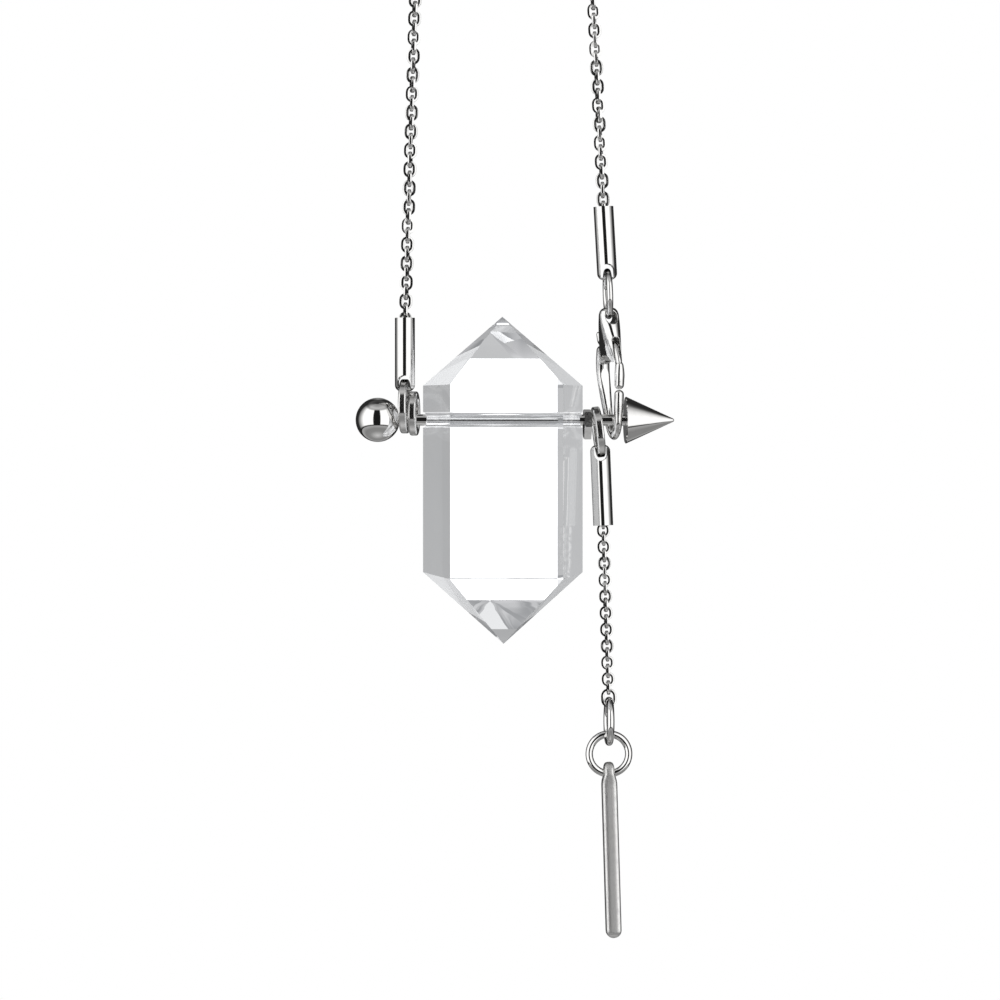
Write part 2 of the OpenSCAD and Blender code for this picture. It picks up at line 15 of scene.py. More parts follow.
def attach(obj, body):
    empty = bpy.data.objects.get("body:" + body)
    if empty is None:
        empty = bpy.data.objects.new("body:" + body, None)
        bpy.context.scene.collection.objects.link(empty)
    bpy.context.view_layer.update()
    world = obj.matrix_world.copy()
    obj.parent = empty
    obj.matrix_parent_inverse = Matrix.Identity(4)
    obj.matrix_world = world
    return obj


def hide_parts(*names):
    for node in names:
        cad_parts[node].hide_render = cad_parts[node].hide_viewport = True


bl_info = {
    "name": "Crystal point necklace",
    "version": (1, 0, 0),
    "blender": (4, 5, 0),
    "location": "3D View > Sidebar > Necklace",
    "description": "Chain, clasp, barbell, crystal point and bar drop of a hanging necklace",
    "category": "Object",
}

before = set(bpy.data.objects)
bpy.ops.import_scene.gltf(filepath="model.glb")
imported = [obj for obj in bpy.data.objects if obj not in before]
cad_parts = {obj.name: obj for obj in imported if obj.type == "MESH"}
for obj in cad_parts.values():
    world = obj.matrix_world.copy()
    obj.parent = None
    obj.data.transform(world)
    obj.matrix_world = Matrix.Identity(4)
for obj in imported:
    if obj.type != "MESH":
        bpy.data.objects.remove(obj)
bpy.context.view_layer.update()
MM = 0.001
NECKLACE = "necklace"

# Camera: the point it looks at and the frame's width there in millimetres, its turn and its lens
CAMERA_AIM = (1.5, 0, -294.3)
CAMERA_TURN = math.radians(-4)
CAMERA_LENS = 200
CAMERA_SENSOR = 36
CAMERA_NEAR = 0.01
FRAME_WIDTH = 140

# Floor, in metres
FLOOR_RADIUS = 1.6
FLOOR_LEVEL = -0.374
FLOOR_SIDES = 64

# Light: the tent's strength, the turns after which a ray in the crystal ends in a painted grey glow, and the
# crossings of the crystal's surface after which it has met the bar
TENT_STRENGTH = 1.35
DEEP_TURNS = 5
BAR_CROSSINGS = 4

# Shader nodes' sockets that share a name or are picked by their place
GENERATED, OBJECT = 0, 3
CAMERA_RAY, TRANSMISSION_RAY, RAY_DEPTH, TRANSMISSION_DEPTH = 0, 6, 9, 13
MIX_SHARE, MIX_FIRST, MIX_SECOND, MIXED = 0, 6, 7, 2

# Chains: squareness of the wire, play between neck links in millimetres, and chance turns in degrees
FLATTENING = 4.6
CHAIN_SHARP = 60
PEG_STEPS = 48
NECK_PLAY = 0.04
NECK_ROLL = (-13, 11)
NECK_SWAY = 1.5
NECK_SEED = 7
DROP_LINKS = 21
DROP_ROLL = 6
DROP_SEED = 3

# Castings: half width of the clasp's eye, radius of the bar drop's hole, and voxels of the two melts, in
# millimetres, and the angles at which a rounded end is drawn
EYE_HALF = 1
STICK_HOLE_R = 0.75
COARSE_VOXEL = 0.09
FINE_VOXEL = 0.06
CAP_ANGLES = (15, 35, 55, 72, 85)

# Roughness, strength of the clouds and strength of the grain of each steel
STEELS = {
    "mirror_steel": (0.03, 0.5, 0.01),
    "cast_steel": (0.07, 1.0, 0.01),
    "soft_steel": (0.11, 1.0, 0.01),
    "satin_steel": (0.36, 1.0, 0.02),
    "chain_steel": (0.1, 1.0, 0.01),
}


# Sizes and colours


def length(name, description, millimetres):
    return FloatProperty(
        name=name, description=description, default=millimetres * MM, unit="LENGTH", precision=5)


def angle(name, description, degrees):
    return FloatProperty(name=name, description=description, default=math.radians(degrees), subtype="ANGLE")


def colour(name, description, rgb):
    return FloatVectorProperty(
        name=name, description=description, default=rgb, size=3, subtype="COLOR", min=0, max=1)


class NecklaceSizes(bpy.types.PropertyGroup):
    """Sizes of the necklace's pieces."""

    hang_drop: length("Hang drop", "Drop from the peg to the barbell's axis", 283.1)
    peg_spread: length("Peg spread", "Distance between the strands at the peg", 7)
    link_gap: length("Link gap", "Clearance between linked pieces", 0.1)
    bar_d: length("Bar diameter", "Diameter of the barbell's shaft", 1.6)
    crystal_in: length("Crystal place", "Distance of the crystal's middle to the right of the peg", 1.91)
    crystal_w: length("Crystal width", "Width across the crystal's outer edges", 22.4)
    crystal_side_gap: length("Crystal side gap", "Space between the crystal and the nut", 0.15)
    nut_t: length("Nut thickness", "Thickness of the hexagonal spacer", 1)
    hanger_in: length("Hanger gap", "Space between the nut and the ring that carries the drop", 0.28)
    clasp_pitch: length("Clasp pitch", "Distance between that ring and the clasp, along the bar", 2.35)
    clasp_up: length("Clasp height", "Height of the clasp's top above the bar's axis", 15.85)
    eye_rim: length("Eye rim", "Metal over the clasp's eye", 0.5)
    flat_ring_t: length("Flat ring thickness", "Radial thickness of the flattened rings", 1)
    flat_ring_w: length("Flat ring width", "Width of the flattened rings", 1.12)
    left_ring_od: length("Left ring", "Outer diameter of the left jump ring", 7.6)
    second_ring_in: length("Second ring place", "From the second left ring to the crystal's edge", 1.26)
    left_ring_pitch: length("Left ring pitch", "Distance between the two left rings, along the bar", 1.28)
    clasp_ring_od: length("Clasp ring", "Outer diameter of the clasp's ring", 7.15)
    clasp_ring_wire: length("Clasp ring wire", "Wire of the clasp's ring", 0.9)
    hanger_ring_od: length("Hanger ring", "Outer diameter of the ring that carries the drop", 7.15)
    link_ring_od: length("Link ring", "Outer diameter of the drop's upper ring", 6.9)
    drop_ring_od: length("Drop ring", "Outer diameter of the drop's lower ring", 6.6)
    drop_ring_wire: length("Drop ring wire", "Wire of both drop rings", 1.04)
    tube_d: length("Tube diameter", "Outer diameter of the end tubes", 2.8)
    tube_len: length("Tube length", "Length of the chain end tubes", 10.3)
    drop_tube_len: length("Drop tube length", "Length of the drop's tube", 11.3)
    tube_bridge: length("Tube bridge", "Thickness of a tube's closed end", 0.35)
    tube_end_r: length("Tube end rounding", "Rounding of a tube's closed end", 0.9)
    chain_in: length("Chain in tube", "Length of chain inside an end tube", 1.5)
    link_l: length("Link length", "Length of a chain link", 2.06)
    link_w: length("Link width", "Width of a chain link", 1.8)
    link_wire: length("Link wire", "Wire of a chain link", 0.4)
    neck_link_l: length("Neck link length", "Length of a link of the neck chain", 2.36)
    neck_link_wire: length("Neck link wire", "Wire of a link of the neck chain", 0.5)
    drop_link_wire: length("Drop link wire", "Wire of a link of the drop's chain", 0.44)
    end_link_l: length("End link length", "Length of the drop chain's end link", 2.7)
    end_link_w: length("End link width", "Width of the drop chain's end link", 2.15)


class NecklaceLeans(bpy.types.PropertyGroup):
    """How far the hanging pieces lean from upright."""

    clasp_yaw: angle("Clasp's yaw", "Turn of the clasp about the vertical", 17)
    right_tube_lean: angle("Right tube", "Lean of the right end tube", 3.2)
    clasp_ring_lean: angle("Clasp ring", "Lean of the ring above the clasp", 2.1)
    clasp_lean: angle("Clasp", "Lean of the clasp", 2.6)
    hanger_lean: angle("Hanger ring", "Lean of the ring that carries the drop", 7)
    drop_tube_lean: angle("Drop tube", "Lean of the drop's tube", 2.3)
    drop_chain_lean: angle("Drop chain", "Lean of the drop's chain", 1.85)
    stick_lean: angle("Bar drop", "Lean of the bar drop", 1.7)


class NecklaceColours(bpy.types.PropertyGroup):
    """Colours of the finishes, of the painted glow inside the crystal and of the stage."""

    steel: colour("Steel", "Polished steel of the findings", (0.80, 0.795, 0.785))
    steel_worn: colour("Steel, duller", "Slightly duller steel in the polish's clouds", (0.71, 0.705, 0.70))
    crystal: colour("Crystal", "Body tint of the crystal", (0.972, 0.983, 1.0))
    # Painted light: the grey that the crystal emits where a ray has turned many times, and its lighter clouds
    crystal_depth: colour("Crystal depth", "Grey of light that was turned many times", (0.34, 0.345, 0.355))
    crystal_depth_light: colour("Crystal depth, lighter", "Its lighter clouds", (0.66, 0.66, 0.67))
    floor: colour("Floor", "Pale floor under the necklace", (1.0, 1.0, 1.0))
    floor_shade: colour("Floor's shade", "The floor as it lights the necklace", (0.55, 0.54, 0.53))


class Measures:
    """The sizes in millimetres and the leans in radians, read by name."""

    def __init__(self):
        self.sizes = bpy.context.scene.necklace_sizes
        self.leans = bpy.context.scene.necklace_leans

    def __getattr__(self, name):
        if name in NecklaceSizes.__annotations__:
            return getattr(self.sizes, name) / MM
        return getattr(self.leans, name)


# Where the pieces hang, worked out as in the source


def down(lean):
    """Unit vector that hangs at a lean from straight down."""
    return Vector((math.sin(lean), 0, -math.cos(lean)))


def rise(radius, half_chord):
    """How far a circle rises from its lowest point to the ends of a chord."""
    return radius - math.sqrt(radius * radius - half_chord * half_chord)


class Places:
    """Points of the pendant in millimetres, with the bar's axis at height 0."""

    def __init__(self, m):
        gap = m.link_gap
        bar_r = m.bar_d / 2
        nut_x = m.crystal_in + m.crystal_w / 2 + m.crystal_side_gap + m.nut_t / 2
        hanger_x = nut_x + m.nut_t / 2 + m.hanger_in + m.flat_ring_w / 2
        self.clasp = Vector((hanger_x + m.clasp_pitch, 0, 0))
        # Half the width of a tube's closed end, where its ring goes through
        bridge_half = (m.tube_d / 2 - m.tube_end_r
                       + math.sqrt(m.tube_end_r ** 2 - (m.tube_end_r - m.tube_bridge) ** 2))
        left_ring_x = m.crystal_in - m.crystal_w / 2 - m.second_ring_in - m.left_ring_pitch
        left_ring_r = m.left_ring_od / 2 - m.flat_ring_t
        self.left_tube = Vector((left_ring_x, 0, left_ring_r - bar_r - gap)) + Vector(
            (0, 0, left_ring_r - rise(left_ring_r, bridge_half) - gap - m.tube_bridge))
        clasp_ring_r = m.clasp_ring_od / 2 - m.clasp_ring_wire
        eye_seat = self.clasp - down(m.clasp_lean) * (m.clasp_up - m.eye_rim)
        ring_low = eye_seat + down(m.clasp_ring_lean) * (rise(clasp_ring_r, EYE_HALF) + gap)
        clasp_ring = ring_low - down(m.clasp_ring_lean) * clasp_ring_r
        self.right_tube = (clasp_ring
                           - down(m.clasp_ring_lean) * (clasp_ring_r - rise(clasp_ring_r, bridge_half) - gap)
                           + down(m.right_tube_lean) * m.tube_bridge)
        hanger_r = m.hanger_ring_od / 2 - m.flat_ring_t
        hanger = Vector((hanger_x, 0, 0)) + down(m.hanger_lean) * (hanger_r - bar_r - gap)
        drop_tube = (hanger
                     + down(m.hanger_lean) * (hanger_r - rise(hanger_r, bridge_half) - gap)
                     - down(m.drop_tube_lean) * m.tube_bridge)
        self.link_pitch = m.link_l - 2 * m.link_wire - gap
        self.drop_chain = drop_tube + down(m.drop_tube_lean) * (m.drop_tube_len - m.chain_in + m.link_l / 2)
        self.end_link = self.drop_chain + down(m.drop_chain_lean) * (
            (DROP_LINKS - 1) * self.link_pitch + m.link_l / 2 + m.end_link_l / 2 - 2 * m.link_wire - gap)
        link_ring = (self.end_link + down(m.drop_chain_lean) * (m.end_link_l / 2 - m.link_wire - gap)
                     + Vector((0, 0, m.drop_ring_wire - m.link_ring_od / 2)))
        link_ring_r = m.link_ring_od / 2 - m.drop_ring_wire
        drop_ring_r = m.drop_ring_od / 2 - m.drop_ring_wire
        drop_ring = link_ring - Vector((0, 0, link_ring_r - gap + drop_ring_r))
        self.stick_hole = drop_ring - Vector((0, 0, drop_ring_r - gap + STICK_HOLE_R))


def placing(m, point, lean=0.0, yaw=0.0):
    """Matrix that puts a piece at a point of the pendant, turned by yaw and then leaned."""
    return (Matrix.Translation(Vector(point) - Vector((0, 0, m.hang_drop)))
            @ Matrix.Rotation(-lean, 4, "Y") @ Matrix.Rotation(yaw, 4, "Z"))


# Mesh making


class Shell:
    """Points and faces in millimetres that grow piece by piece into one mesh."""

    def __init__(self):
        self.points = []
        self.faces = []

    def add(self, points, faces, matrix=None):
        first = len(self.points)
        self.points += [matrix @ Vector(p) if matrix else Vector(p) for p in points]
        self.faces += [tuple(first + i for i in face) for face in faces]

    def mesh(self, name):
        made = bpy.data.meshes.new(name)
        made.from_pydata([p * MM for p in self.points], [], self.faces)
        made.update()
        return made


def settle(mesh, name, material, stands_for, sharp, body=NECKLACE):
    """Makes a mesh into a piece that rides on its body and stands for the nodes it replaces."""
    for polygon in mesh.polygons:
        polygon.use_smooth = True
    mesh.set_sharp_from_angle(angle=math.radians(sharp))
    mesh.materials.clear()
    mesh.materials.append(material)
    piece = bpy.data.objects.new(name, mesh)
    bpy.context.scene.collection.objects.link(piece)
    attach(piece, body)
    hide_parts(*stands_for)


def loop_faces(rings, sides, closed):
    """Quads between successive rings of points."""
    faces = []
    for i in range(rings if closed else rings - 1):
        j = (i + 1) % rings
        for k in range(sides):
            n = (k + 1) % sides
            faces.append((i * sides + k, j * sides + k, j * sides + n, i * sides + n))
    return faces


def link_shape(length_mm, width, wire, bend_steps=8, sides=12):
    """Points and faces of an oval link that stands in the XZ plane, its wire flattened on four sides."""
    bend, straight = (width - wire) / 2, (length_mm - width) / 2
    path = []
    for half in (0, 1):
        for i in range(bend_steps + 1):
            a = math.pi * (half + i / bend_steps)
            path.append((bend * math.cos(a), (straight if half == 0 else -straight) + bend * math.sin(a), a))
    points = []
    for x, z, a in path:
        for k in range(sides):
            b = 2 * math.pi * (k + 0.5) / sides
            spread = abs(math.cos(b)) ** FLATTENING + abs(math.sin(b)) ** FLATTENING
            radius = wire / 2 / spread ** (1 / FLATTENING)
            out = radius * math.cos(b)
            points.append((x + out * math.cos(a), radius * math.sin(b), z + out * math.sin(a)))
    return points, loop_faces(len(path), sides, True)


def chain_route(m, places):
    """The neck chain's centre line as (x, z) points: left strand, over the peg, right strand."""
    peg_r = m.peg_spread / 2
    centre = Vector((0, m.hang_drop - peg_r + m.link_w / 2))
    left = places.left_tube + Vector((0, 0, m.tube_len - m.chain_in))
    right = places.right_tube - down(m.right_tube_lean) * (m.tube_len - m.chain_in)
    left, right = Vector((left.x, left.z)), Vector((right.x, right.z))

    def touch(point, side):
        q = point - centre
        return math.atan2(q.y, q.x) + side * math.acos(peg_r / q.length)

    start, end = touch(left, -1), touch(right, 1)
    sweep = (start - end) % (2 * math.pi)
    points = [left]
    for i in range(PEG_STEPS + 1):
        a = end + sweep * (1 - i / PEG_STEPS)
        points.append(centre + peg_r * Vector((math.cos(a), math.sin(a))))
    points.append(right)
    return points


def along(points, distance):
    """Point and unit tangent at a distance along a polyline."""
    for a, b in zip(points, points[1:]):
        step = (b - a).length
        if distance <= step or b is points[-1]:
            return a + (b - a) * (distance / step), (b - a) / step
        distance -= step


# Shader making


class Signal:
    """A shader socket that can be used in Python sums."""

    def __init__(self, look, socket):
        self.look = look
        self.socket = socket

    def sum(self, operation, first, second):
        return self.look.node("ShaderNodeMath", {"operation": operation}, {0: first, 1: second})[0]

    def __add__(self, other):
        return self.sum("ADD", self, other)

    def __radd__(self, other):
        return self.sum("ADD", other, self)

    def __sub__(self, other):
        return self.sum("SUBTRACT", self, other)

    def __rsub__(self, other):
        return self.sum("SUBTRACT", other, self)

    def __mul__(self, other):
        return self.sum("MULTIPLY", self, other)

    def __rmul__(self, other):
        return self.sum("MULTIPLY", other, self)


class Look:
    """A node tree that grows through one method."""

    def __init__(self, tree):
        self.tree = tree
        tree.nodes.clear()

    def node(self, kind, settings=None, inputs=None):
        """Adds a node, sets it, fills its sockets and returns its outputs as signals."""
        made = self.tree.nodes.new(kind)
        for name, value in (settings or {}).items():
            if name == "stops":
                ramp = made.color_ramp
                while len(ramp.elements) < len(value):
                    ramp.elements.new(0.5)
                for element, (position, tone) in zip(ramp.elements, value):
                    element.position = position
                    element.color = (tone, tone, tone, 1)
            else:
                setattr(made, name, value)
        for name, value in (inputs or {}).items():
            if isinstance(value, Signal):
                self.tree.links.new(value.socket, made.inputs[name])
            else:
                made.inputs[name].default_value = value
        return [Signal(self, socket) for socket in made.outputs]


def material_look(name):
    material = bpy.data.materials.new(name)
    material.use_nodes = True
    return material, Look(material.node_tree)


def steel_finish(name, roughness, clouds, grain):
    """Polished steel with faint clouds in its polish and a very fine grain left by tumbling."""
    material, look = material_look(name)
    colours = bpy.context.scene.necklace_colours
    place = look.node("ShaderNodeTexCoord")[OBJECT]
    cloud = look.node("ShaderNodeTexNoise", {}, {
        "Vector": place, "Scale": 900.0, "Detail": 3.0, "Roughness": 0.6})[0]
    fine = look.node("ShaderNodeTexNoise", {}, {"Vector": place, "Scale": 9000.0, "Detail": 2.0})[0]
    dull = look.node("ShaderNodeMapRange", {"interpolation_type": "SMOOTHSTEP"},
                     {"Value": cloud, "From Min": 0.42, "From Max": 0.72})[0]
    tone = look.node("ShaderNodeMix", {"data_type": "RGBA"}, {
        MIX_SHARE: dull * clouds, MIX_FIRST: (*colours.steel, 1),
        MIX_SECOND: (*colours.steel_worn, 1)})[MIXED]
    bump = look.node("ShaderNodeBump", {}, {
        "Strength": grain, "Distance": 0.00001, "Height": fine + cloud * 2.0})[0]
    surface = look.node("ShaderNodeBsdfPrincipled", {}, {
        "Base Color": tone, "Metallic": 1.0, "Roughness": roughness + dull * (0.06 * clouds) + fine * 0.02,
        "Normal": bump})[0]
    look.node("ShaderNodeOutputMaterial", {}, {"Surface": surface})
    return material


def crystal_finish():
    """Clear polished quartz with hardly any haze, a faint wave in its facets and a painted grey glow inside.
    """
    material, look = material_look("clear_quartz")
    colours = bpy.context.scene.necklace_colours
    place = look.node("ShaderNodeTexCoord")[OBJECT]
    wave = look.node("ShaderNodeTexNoise", {}, {"Vector": place, "Scale": 120.0, "Detail": 1.0})[0]
    veil = look.node("ShaderNodeTexNoise", {}, {
        "Vector": place, "Scale": 420.0, "Detail": 5.0, "Roughness": 0.6})[0]
    haze = look.node("ShaderNodeMapRange", {}, {"Value": veil, "From Min": 0.55, "From Max": 0.8})[0]
    bump = look.node("ShaderNodeBump", {}, {"Strength": 0.06, "Distance": 0.0004, "Height": wave})[0]
    surface = look.node("ShaderNodeBsdfPrincipled", {}, {
        "Base Color": (*colours.crystal, 1), "Metallic": 0.0, "Roughness": 0.004 + haze * 0.02, "IOR": 1.545,
        "Transmission Weight": 1.0, "Normal": bump})[0]
    # Painted light: a ray that was turned many times ends in an emitted pale grey glow with lighter clouds
    soft = look.node("ShaderNodeTexNoise", {}, {"Vector": place, "Scale": 150.0, "Detail": 1.0})[0]
    painted_glow_clouds = look.node("ShaderNodeMapRange", {"interpolation_type": "SMOOTHSTEP"},
                      {"Value": soft, "From Min": 0.3, "From Max": 0.7})[0]
    painted_grey_glow = look.node("ShaderNodeMix", {"data_type": "RGBA"}, {
        MIX_SHARE: painted_glow_clouds, MIX_FIRST: (*colours.crystal_depth, 1),
        MIX_SECOND: (*colours.crystal_depth_light, 1)})[MIXED]
    # Painted light: the crystal glows with this grey though it is no lamp
    glow = look.node("ShaderNodeBsdfPrincipled", {}, {
        "Base Color": (0, 0, 0, 1), "Specular IOR Level": 0.0, "Roughness": 1.0, "Emission Color": painted_grey_glow,
        "Emission Strength": 1.0})[0]
    # Past that many turns the painted glow takes the place of the clear surface
    deep = look.node("ShaderNodeMath", {"operation": "GREATER_THAN"}, {
        0: look.node("ShaderNodeLightPath")[RAY_DEPTH], 1: DEEP_TURNS - 0.5})[0]
    both = look.node("ShaderNodeMixShader", {}, {0: deep, 1: surface, 2: glow})[0]
    look.node("ShaderNodeOutputMaterial", {}, {"Surface": both})
    return material


def finish(name):
    """The named finish, made once."""
    if name in bpy.data.materials:
        return bpy.data.materials[name]
    return crystal_finish() if name == "clear_quartz" else steel_finish(name, *STEELS[name])


def dress(material, *nodes):
    """Gives CAD nodes a finish."""
    for node in nodes:
        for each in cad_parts[node].material_slots:
            each.material = material


# The stage


def ramp(look, value, half, pairs):
    """A tone that changes over an angle in radians, from (degrees, tone) pairs between -half and half."""
    stops = [((degrees / half + 1) / 2, tone) for degrees, tone in pairs]
    share = value * (0.5 / math.radians(half)) + 0.5
    return look.node("ShaderNodeValToRGB", {"stops": stops}, {0: share})[0]


def metal_tent(look, azimuth, height):
    """What steel reflects: two white boxes beside a dark gap, black sides, grey ceiling and table."""
    boxes = ramp(look, azimuth, 180, [
        (-180, 0.2), (-166, 0.02), (-122, 0.02), (-100, 0.4), (-78, 1.0), (-25, 1.0), (-21, 0.01),
        (14, 0.01), (18, 1.0), (60, 1.0), (80, 0.45), (106, 0.02), (166, 0.02), (180, 0.2)])
    sides = ramp(look, azimuth, 180, [
        (-180, 0.1), (-120, 0.15), (-70, 1.0), (70, 1.0), (120, 0.15), (180, 0.1)])
    window = ramp(look, height, 90, [(-90, 0.0), (-27, 0.0), (-22, 1.0), (46, 1.0), (54, 0.0), (90, 0.0)])
    ceiling = ramp(look, height, 90, [
        (-90, 0.0), (0, 0.0), (46, 0.0), (54, 0.34), (62, 0.46), (75, 0.3), (90, 0.2)])
    table = ramp(look, height, 90, [
        (-90, 0.5), (-76, 0.36), (-62, 0.22), (-46, 0.2), (-31, 0.34), (-29, 0.01), (-22, 0.01), (0, 0.0),
        (90, 0.0)])
    return window * boxes + (1 - window) * (ceiling * sides + table)


def clear_surround(look, way, azimuth, height):
    """What shows through the crystal: white straight behind it and pale greys towards the sides."""
    around = ramp(look, azimuth, 180, [
        (-180, 1.0), (-168, 1.0), (-156, 1.0), (-144, 0.62), (-130, 0.44), (-100, 0.44), (-60, 0.5),
        (0, 0.31), (60, 0.6), (100, 0.44), (137, 0.35), (150, 0.55), (162, 1.0), (180, 1.0)])
    level = ramp(look, height, 90, [
        (-90, 0.6), (-60, 0.8), (-44, 1.75), (-24, 1.75), (-10, 1.0), (10, 1.0), (17, 1.5), (25, 1.75),
        (44, 1.75), (60, 0.9), (90, 0.7)])
    cloud = look.node("ShaderNodeTexNoise", {}, {"Vector": way, "Scale": 3.2, "Detail": 2.0})[0]
    streaks = look.node("ShaderNodeMapRange", {}, {
        "Value": cloud, "From Min": 0.3, "From Max": 0.7, "To Min": 0.8, "To Max": 1.2})[0]
    return around * level * streaks


def bar_surround(look, height):
    """What the barbell reflects inside the crystal: a white upper half, a dark line, a pale underside."""
    return ramp(look, height, 90, [
        (-90, 0.5), (-70, 0.2), (-56, 0.3), (-46, 0.01), (3, 0.01), (10, 0.3), (17, 1.0), (46, 0.95),
        (56, 0.12), (70, 0.3), (90, 0.25)])


def background():
    """Surround of the necklace: a light tent for the steel, pale greys for the crystal, white behind them."""
    world = bpy.data.worlds.new("light_tent")
    world.use_nodes = True
    bpy.context.scene.world = world
    look = Look(world.node_tree)
    way = look.node("ShaderNodeTexCoord")[GENERATED]
    x, y, z = look.node("ShaderNodeSeparateXYZ", {}, {0: way})
    azimuth = look.node("ShaderNodeMath", {"operation": "ARCTAN2"}, {0: x, 1: 0 - y})[0] - CAMERA_TURN
    height = look.node("ShaderNodeMath", {"operation": "ARCSINE"}, {0: z})[0]
    path = look.node("ShaderNodeLightPath")
    seen, through = path[CAMERA_RAY], path[TRANSMISSION_RAY]
    # A ray that goes in, meets the bar in its hole and comes out crosses the crystal's surface four times
    inside = look.node("ShaderNodeMath", {"operation": "GREATER_THAN"}, {
        0: path[TRANSMISSION_DEPTH], 1: BAR_CROSSINGS - 0.5})[0]
    metal = metal_tent(look, azimuth, height)
    clear = clear_surround(look, way, azimuth, height)
    clear = inside * bar_surround(look, height) + (1 - inside) * clear
    hidden = through * clear + (1 - through) * metal
    tone = seen * (1 / TENT_STRENGTH) + (1 - seen) * hidden
    light = look.node("ShaderNodeBackground", {}, {"Color": tone, "Strength": TENT_STRENGTH})[0]
    look.node("ShaderNodeOutputWorld", {}, {"Surface": light})


class NECKLACE_OT_stage(bpy.types.Operator):
    """Sets up the camera, the light tent and the pale floor."""

    bl_idname = "necklace.stage"
    bl_label = "Stage"

    def execute(self, context):
        scene = context.scene
        aim = Vector(CAMERA_AIM) * MM
        back = Vector((math.sin(CAMERA_TURN), -math.cos(CAMERA_TURN), 0))
        camera = bpy.data.objects.new("camera", bpy.data.cameras.new("camera"))
        camera.data.lens = CAMERA_LENS
        camera.data.sensor_width = CAMERA_SENSOR
        camera.data.clip_start = CAMERA_NEAR
        camera.location = aim + back * (FRAME_WIDTH * MM / CAMERA_SENSOR * CAMERA_LENS)
        camera.rotation_euler = (-back).to_track_quat("-Z", "Y").to_euler()
        scene.collection.objects.link(camera)
        scene.camera = camera
        scene.view_settings.view_transform = "Standard"
        background()
        material, look = material_look("pale_floor")
        colours = scene.necklace_colours
        seen = look.node("ShaderNodeLightPath")[CAMERA_RAY]
        glow = look.node("ShaderNodeEmission", {}, {"Color": (*colours.floor, 1)})[0]
        matte = look.node("ShaderNodeBsdfDiffuse", {}, {"Color": (*colours.floor_shade, 1)})[0]
        both = look.node("ShaderNodeMixShader", {}, {0: seen, 1: matte, 2: glow})[0]
        look.node("ShaderNodeOutputMaterial", {}, {"Surface": both})
        mesh = bpy.data.meshes.new("floor")
        angles = [2 * math.pi * i / FLOOR_SIDES for i in range(FLOOR_SIDES)]
        rim = [(FLOOR_RADIUS * math.cos(a), FLOOR_RADIUS * math.sin(a), FLOOR_LEVEL) for a in angles]
        mesh.from_pydata(rim, [], [tuple(range(FLOOR_SIDES))])
        mesh.materials.append(material)
        floor = bpy.data.objects.new("floor", mesh)
        floor.visible_glossy = False
        floor.visible_transmission = False
        scene.collection.objects.link(floor)
        return {"FINISHED"}


# The necklace


class NECKLACE_OT_chain(bpy.types.Operator):
    """Makes the neck chain from separate links that hang in each other."""

    bl_idname = "necklace.chain"
    bl_label = "Neck chain"

    def execute(self, context):
        m = Measures()
        places = Places(m)
        route = chain_route(m, places)
        total = sum((b - a).length for a, b in zip(route, route[1:]))
        wanted = m.neck_link_l - 2 * m.neck_link_wire - NECK_PLAY
        count = round((total - m.neck_link_l) / wanted) + 1
        pitch = (total - m.neck_link_l) / (count - 1)
        points, faces = link_shape(m.neck_link_l, m.link_w, m.neck_link_wire)
        chance = random.Random(NECK_SEED)
        links = Shell()
        for i in range(count):
            p, t = along(route, m.neck_link_l / 2 + i * pitch)
            axis = Vector((t.x, 0, t.y))
            side = Vector((t.y, 0, -t.x))
            turn = Matrix((side, Vector((0, 1, 0)), axis)).transposed().to_4x4()
            roll = Matrix.Rotation(math.radians(90 * (i % 2) + chance.uniform(*NECK_ROLL)), 4, "Z")
            sway = Matrix.Rotation(math.radians(chance.uniform(-NECK_SWAY, NECK_SWAY)), 4, "X")
            spot = Matrix.Translation(Vector((p.x, 0, p.y - m.hang_drop)))
            links.add(points, faces, spot @ turn @ roll @ sway)
        name = "neck_chain_links"
        settle(links.mesh(name), name, finish("chain_steel"), ("neck_chain",), CHAIN_SHARP)
        return {"FINISHED"}


class NECKLACE_OT_drop_chain(bpy.types.Operator):
    """Makes the drop's short chain and its end link."""

    bl_idname = "necklace.drop_chain"
    bl_label = "Drop chain"

    def execute(self, context):
        m = Measures()
        places = Places(m)
        links = Shell()
        chance = random.Random(DROP_SEED)
        points, faces = link_shape(m.link_l, m.link_w, m.drop_link_wire, bend_steps=10)
        for i in range(DROP_LINKS):
            spot = places.drop_chain + down(m.drop_chain_lean) * (i * places.link_pitch)
            turn = math.radians(90 * ((i + 1) % 2) + chance.uniform(-DROP_ROLL, DROP_ROLL))
            links.add(points, faces, placing(m, spot, m.drop_chain_lean, turn))
        points, faces = link_shape(m.end_link_l, m.end_link_w, m.drop_link_wire, bend_steps=10)
        links.add(points, faces, placing(m, places.end_link, m.drop_chain_lean))
        name = "drop_chain_links"
        settle(links.mesh(name), name, finish("chain_steel"), ("drop_chain",), CHAIN_SHARP)
        return {"FINISHED"}


class NECKLACE_OT_findings(bpy.types.Operator):
    """Gives the turned and cast findings their polish."""

    bl_idname = "necklace.findings"
    bl_label = "Findings"

    def execute(self, context):
        dress(finish("mirror_steel"), "bar", "ball_end", "spike_end", "left_end_tube", "right_end_tube",
              "drop_tube", "clasp_ring", "drop_link_ring", "drop_ring", "clasp_pin")
        dress(finish("soft_steel"), "hex_nut", "left_ring_a", "left_ring_b", "drop_hanger_ring")
        return {"FINISHED"}


